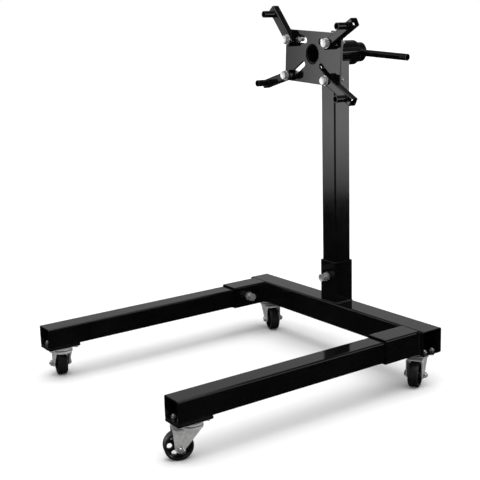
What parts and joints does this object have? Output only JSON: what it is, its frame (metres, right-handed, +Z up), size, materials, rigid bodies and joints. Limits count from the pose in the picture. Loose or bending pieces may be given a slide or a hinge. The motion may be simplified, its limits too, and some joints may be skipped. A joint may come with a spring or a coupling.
{
  "type": "engine stand",
  "caption": "Rolling engine stand with a tubular base on swivel casters, an upright post and a turning plate with adjustable arms.",
  "frame": {"origin": "on the floor, in the stand's middle plane, halfway between the legs' front tips and the spindle's rear end", "axes": "+Z up; +X along the crossbeam, towards the handle bar's long end; the legs and the arms' fingers reach towards -Y"},
  "size_m": [0.6811, 0.7764, 0.8809],
  "materials": {
    "black_paint": "gloss",
    "zinc_plate": "satin",
    "bearing_steel": "polished",
    "wheel_moulding": "matte"
  },
  "bodies": {
    "base": {"crossbeam": "black_paint", "leg_socket_left": "black_paint", "leg_socket_right": "black_paint", "post_socket": "black_paint", "socket_lock_nuts": "zinc_plate", "caster_plate_rear_left": "zinc_plate", "caster_balls_rear_left": "bearing_steel", "kingpin_rear_left": "zinc_plate", "caster_bolts_rear_left": "zinc_plate", "caster_plate_rear_right": "zinc_plate", "caster_balls_rear_right": "bearing_steel", "kingpin_rear_right": "zinc_plate", "caster_bolts_rear_right": "zinc_plate"},
    "leg_left_unit": {"leg_left": "black_paint", "leg_pad_left": "black_paint", "caster_plate_front_left": "zinc_plate", "caster_balls_front_left": "bearing_steel", "kingpin_front_left": "zinc_plate", "caster_bolts_front_left": "zinc_plate"},
    "leg_right_unit": {"leg_right": "black_paint", "leg_pad_right": "black_paint", "caster_plate_front_right": "zinc_plate", "caster_balls_front_right": "bearing_steel", "kingpin_front_right": "zinc_plate", "caster_bolts_front_right": "zinc_plate"},
    "post_unit": {"post": "black_paint", "sleeve": "black_paint", "sleeve_lock_nut": "zinc_plate"},
    "head": {"mounting_plate": "black_paint", "spindle_tube": "black_paint"},
    "handle": {"handle_bar": "black_paint"},
    "leg_lock_left": {"leg_lock_bolt_left": "zinc_plate"},
    "leg_lock_right": {"leg_lock_bolt_right": "zinc_plate"},
    "post_lock": {"post_lock_bolt": "zinc_plate"},
    "sleeve_lock": {"sleeve_lock_bolt": "zinc_plate"},
    "arm_bolt_upper_left_unit": {"arm_bolt_upper_left": "zinc_plate"},
    "arm_upper_left_unit": {"arm_upper_left": "black_paint", "finger_upper_left": "black_paint"},
    "arm_bolt_upper_right_unit": {"arm_bolt_upper_right": "zinc_plate"},
    "arm_upper_right_unit": {"arm_upper_right": "black_paint", "finger_upper_right": "black_paint"},
    "arm_bolt_lower_left_unit": {"arm_bolt_lower_left": "zinc_plate"},
    "arm_lower_left_unit": {"arm_lower_left": "black_paint", "finger_lower_left": "black_paint"},
    "arm_bolt_lower_right_unit": {"arm_bolt_lower_right": "zinc_plate"},
    "arm_lower_right_unit": {"arm_lower_right": "black_paint", "finger_lower_right": "black_paint"},
    "swivel_front_left": {"yoke_front_left": "zinc_plate", "axle_front_left": "zinc_plate"},
    "roller_front_left": {"wheel_front_left": "wheel_moulding"},
    "swivel_front_right": {"yoke_front_right": "zinc_plate", "axle_front_right": "zinc_plate"},
    "roller_front_right": {"wheel_front_right": "wheel_moulding"},
    "swivel_rear_left": {"yoke_rear_left": "zinc_plate", "axle_rear_left": "zinc_plate"},
    "roller_rear_left": {"wheel_rear_left": "wheel_moulding"},
    "swivel_rear_right": {"yoke_rear_right": "zinc_plate", "axle_rear_right": "zinc_plate"},
    "roller_rear_right": {"wheel_rear_right": "wheel_moulding"}
  },
  "joints": [
    {"name": "leg_slide_left", "type": "slide", "parent": "base", "child": "leg_left_unit", "axis": [0, -1, 0], "range_m": [0, 0.06]},
    {"name": "leg_slide_right", "type": "slide", "parent": "base", "child": "leg_right_unit", "axis": [0, -1, 0], "range_m": [0, 0.06]},
    {"name": "post_slide", "type": "slide", "parent": "base", "child": "post_unit", "axis": [0, 0, 1], "range_m": [0, 0.05]},
    {"name": "head_spin", "type": "hinge", "parent": "post_unit", "child": "head", "pos_m": [0, 0.3, 0.764], "axis": [0, 1, 0], "continuous": true},
    {"name": "handle_slide", "type": "slide", "parent": "head", "child": "handle", "axis": [0.998, 0, -0.0635], "range_m": [-0.146, 0]},
    {"name": "leg_lock_left_screw", "type": "slide", "parent": "base", "child": "leg_lock_left", "axis": [1, 0, 0], "range_m": [0, 0.006]},
    {"name": "leg_lock_right_screw", "type": "slide", "parent": "base", "child": "leg_lock_right", "axis": [-1, 0, 0], "range_m": [0, 0.006]},
    {"name": "post_lock_screw", "type": "slide", "parent": "base", "child": "post_lock", "axis": [0, -1, 0], "range_m": [0, 0.006]},
    {"name": "sleeve_lock_screw", "type": "slide", "parent": "post_unit", "child": "sleeve_lock", "axis": [0, 0, 1], "range_m": [0, 0.006]},
    {"name": "arm_slot_upper_left", "type": "slide", "parent": "head", "child": "arm_bolt_upper_left_unit", "axis": [-0.998, 0, 0.0635], "range_m": [-0.0445, 0.0105]},
    {"name": "arm_pivot_upper_left", "type": "hinge", "parent": "arm_bolt_upper_left_unit", "child": "arm_upper_left_unit", "pos_m": [-0.0709, 0.217, 0.79937], "axis": [0, -1, 0], "range_deg": [-30, 30]},
    {"name": "arm_slot_upper_right", "type": "slide", "parent": "head", "child": "arm_bolt_upper_right_unit", "axis": [0.998, 0, -0.0635], "range_m": [-0.045, 0.0105]},
    {"name": "arm_pivot_upper_right", "type": "hinge", "parent": "arm_bolt_upper_right_unit", "child": "arm_upper_right_unit", "pos_m": [0.07511, 0.217, 0.79008], "axis": [0, -1, 0], "range_deg": [-30, 30]},
    {"name": "arm_slot_lower_left", "type": "slide", "parent": "head", "child": "arm_bolt_lower_left_unit", "axis": [-0.8473, 0, -0.5311], "range_m": [-0.05, 0.004]},
    {"name": "arm_pivot_lower_left", "type": "hinge", "parent": "arm_bolt_lower_left_unit", "child": "arm_lower_left_unit", "pos_m": [-0.07737, 0.217, 0.71341], "axis": [0, -1, 0], "range_deg": [-30, 30]},
    {"name": "arm_slot_lower_right", "type": "slide", "parent": "head", "child": "arm_bolt_lower_right_unit", "axis": [0.7732, 0, -0.6342], "range_m": [-0.0495, 0.0045]},
    {"name": "arm_pivot_lower_right", "type": "hinge", "parent": "arm_bolt_lower_right_unit", "child": "arm_lower_right_unit", "pos_m": [0.06976, 0.217, 0.70445], "axis": [0, -1, 0], "range_deg": [-30, 30]},
    {"name": "caster_swivel_front_left", "type": "hinge", "parent": "leg_left_unit", "child": "swivel_front_left", "pos_m": [-0.2915, -0.338, 0.07], "axis": [0, 0, 1], "continuous": true},
    {"name": "wheel_spin_front_left", "type": "hinge", "parent": "swivel_front_left", "child": "roller_front_left", "pos_m": [-0.3177, -0.33147, 0.03], "axis": [-0.2419, -0.9703, 0], "continuous": true},
    {"name": "caster_swivel_front_right", "type": "hinge", "parent": "leg_right_unit", "child": "swivel_front_right", "pos_m": [0.2915, -0.338, 0.07], "axis": [0, 0, 1], "continuous": true},
    {"name": "wheel_spin_front_right", "type": "hinge", "parent": "swivel_front_right", "child": "roller_front_right", "pos_m": [0.28139, -0.36303, 0.03], "axis": [0.9272, -0.3746, 0], "continuous": true},
    {"name": "caster_swivel_rear_left", "type": "hinge", "parent": "base", "child": "swivel_rear_left", "pos_m": [-0.288, 0.3, 0.07], "axis": [0, 0, 1], "continuous": true},
    {"name": "wheel_spin_rear_left", "type": "hinge", "parent": "swivel_rear_left", "child": "roller_rear_left", "pos_m": [-0.26263, 0.29076, 0.03], "axis": [0.342, 0.9397, 0], "continuous": true},
    {"name": "caster_swivel_rear_right", "type": "hinge", "parent": "base", "child": "swivel_rear_right", "pos_m": [0.288, 0.3, 0.07], "axis": [0, 0, 1], "continuous": true},
    {"name": "wheel_spin_rear_right", "type": "hinge", "parent": "swivel_rear_right", "child": "roller_rear_right", "pos_m": [0.30191, 0.27686, 0.03], "axis": [0.8572, 0.515, 0], "continuous": true}
  ]
}
